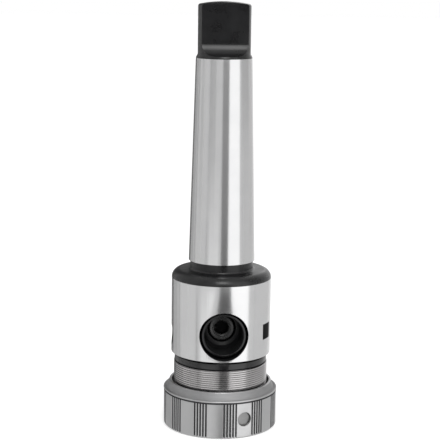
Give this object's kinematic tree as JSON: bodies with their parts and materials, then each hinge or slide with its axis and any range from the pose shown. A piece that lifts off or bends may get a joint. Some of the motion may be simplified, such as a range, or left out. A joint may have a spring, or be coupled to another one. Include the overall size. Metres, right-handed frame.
{
  "type": "tapping head",
  "caption": "Tapping head with a Morse taper shank, a floating clutch sleeve in a round housing, and a knurled ring nut that sets the torque.",
  "frame": {"origin": "on the axis, at the underside of the ring nut", "axes": "+Z along the axis towards the tang, -Y towards the window of the recessed drive stud"},
  "size_m": [0.055, 0.0548, 0.2032],
  "materials": {
    "ground_steel": "ground bright",
    "turned_steel": "satin turned",
    "black_oxide": "black oxide",
    "spring_steel": "oiled",
    "bronze": "machined",
    "brass": "machined",
    "lining": "matte",
    "rubber": "matte"
  },
  "bodies": {
    "housing": {"shank_housing": "ground_steel", "guide_bush": "bronze", "grease_plug": "black_oxide", "return_spring": "spring_steel", "draw_spring": "spring_steel"},
    "head": {"floating_sleeve": "turned_steel", "front_drive_stud": "black_oxide", "rear_drive_stud": "black_oxide", "stud_tie_screw": "black_oxide", "draw_rod": "turned_steel", "stem_seal": "rubber", "pilot_bush": "bronze", "upper_lining": "lining", "lower_lining": "lining", "pressure_plate": "turned_steel", "disc_springs": "spring_steel"},
    "spindle": {"tap_spindle": "ground_steel"},
    "thrust": {"thrust_ring": "turned_steel", "front_bush": "bronze", "slide_washer": "bronze"},
    "nut": {"ring_nut": "turned_steel", "dust_ring": "rubber", "lock_plug": "turned_steel", "lock_pad": "brass"}
  },
  "joints": [
    {"name": "sleeve_float", "type": "slide", "parent": "housing", "child": "head", "axis": [0, 0, 1], "range_m": [-0.0012, 0.0009], "stiffness_N_per_m": 50000, "deforming": ["return_spring", "draw_spring"]},
    {"name": "clutch_slip", "type": "hinge", "parent": "head", "child": "spindle", "pos_m": [0, 0, 0.026], "axis": [0, 0, 1], "continuous": true},
    {"name": "thrust_travel", "type": "slide", "parent": "head", "child": "thrust", "axis": [0, 0, 1], "range_m": [-0.001, 0.001], "deforming": ["disc_springs"]},
    {"name": "torque_nut_turn", "type": "hinge", "parent": "thrust", "child": "nut", "pos_m": [0, 0, 0.011], "axis": [0, 0, 1], "range_deg": [-360, 360]}
  ],
  "couplings": [
    {"joint": "thrust_travel", "follows": "torque_nut_turn", "m_per_rad": 0.00015915}
  ]
}
